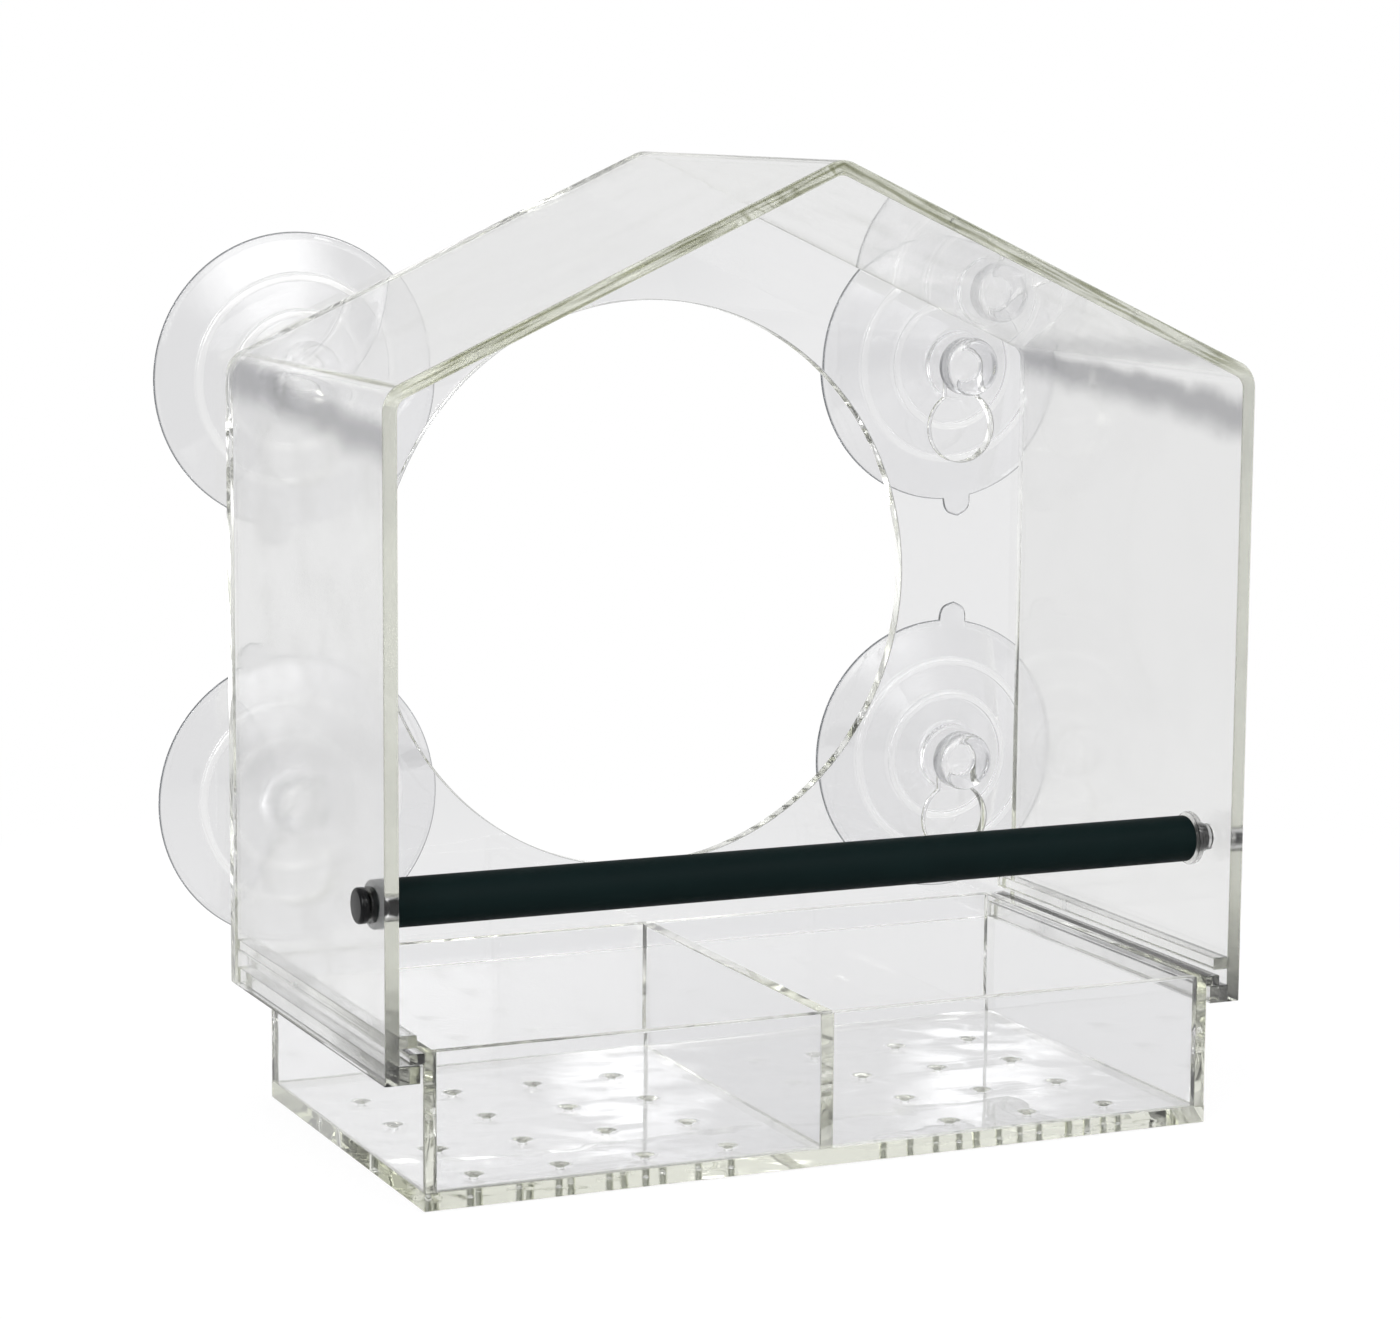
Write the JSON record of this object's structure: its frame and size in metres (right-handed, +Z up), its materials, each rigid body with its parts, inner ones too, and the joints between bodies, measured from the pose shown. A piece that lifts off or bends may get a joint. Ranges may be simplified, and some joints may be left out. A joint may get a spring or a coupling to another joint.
{
  "type": "window bird feeder",
  "caption": "Clear acrylic window bird feeder: a peaked house with a round hole behind, a padded perch, a slide-out divided seed tray and suction cups in keyholes.",
  "frame": {"origin": "middle of the box round the whole feeder in plan, at the underside of the seed tray that it stands on", "axes": "+X to the right seen from the open front, +Y towards the window that the cups hold to, +Z up"},
  "size_m": [0.2898, 0.141, 0.2688],
  "materials": {
    "house_acrylic": "clear cast acrylic, polished faces, pale olive cut edges",
    "tray_acrylic": "clear cast acrylic, glued joints, pale olive cut edges",
    "black_nylon": "moulded black nylon",
    "sleeve_rubber": "dark green-black rubber sleeve, satin",
    "clear_nylon": "clear nylon",
    "cup_vinyl": "clear flexible vinyl, glossy"
  },
  "bodies": {
    "house": {"house_shell": "house_acrylic", "back_panel": "house_acrylic", "left_lower_rail": "house_acrylic", "left_upper_rail": "house_acrylic", "right_lower_rail": "house_acrylic", "right_upper_rail": "house_acrylic"},
    "tray": {"tray_floor": "tray_acrylic", "tray_front_wall": "tray_acrylic", "tray_back_wall": "tray_acrylic", "tray_divider": "tray_acrylic", "tray_left_wall": "tray_acrylic", "tray_left_runner": "tray_acrylic", "tray_right_wall": "tray_acrylic", "tray_right_runner": "tray_acrylic"},
    "perch": {"perch_rod": "black_nylon", "perch_sleeve": "sleeve_rubber", "perch_spacer": "clear_nylon", "perch_left_cap": "black_nylon"},
    "top_left_cup": {"suction_cup_top_left": "cup_vinyl"},
    "top_right_cup": {"suction_cup_top_right": "cup_vinyl"},
    "bottom_left_cup": {"suction_cup_bottom_left": "cup_vinyl"},
    "bottom_right_cup": {"suction_cup_bottom_right": "cup_vinyl"}
  },
  "joints": [
    {"name": "tray_slide", "type": "slide", "parent": "house", "child": "tray", "axis": [0, -1, 0], "range_m": [0, 0.12]},
    {"name": "perch_turn", "type": "hinge", "parent": "house", "child": "perch", "pos_m": [0, -0.0555, 0.0786], "axis": [1, 0, 0], "continuous": true},
    {"name": "top_left_cup_slide", "type": "slide", "parent": "house", "child": "top_left_cup", "axis": [0, 0, -1], "range_m": [0, 0.0186]},
    {"name": "top_right_cup_slide", "type": "slide", "parent": "house", "child": "top_right_cup", "axis": [0, 0, -1], "range_m": [0, 0.0186]},
    {"name": "bottom_left_cup_slide", "type": "slide", "parent": "house", "child": "bottom_left_cup", "axis": [0, 0, -1], "range_m": [0, 0.0186]},
    {"name": "bottom_right_cup_slide", "type": "slide", "parent": "house", "child": "bottom_right_cup", "axis": [0, 0, -1], "range_m": [0, 0.0186]}
  ]
}
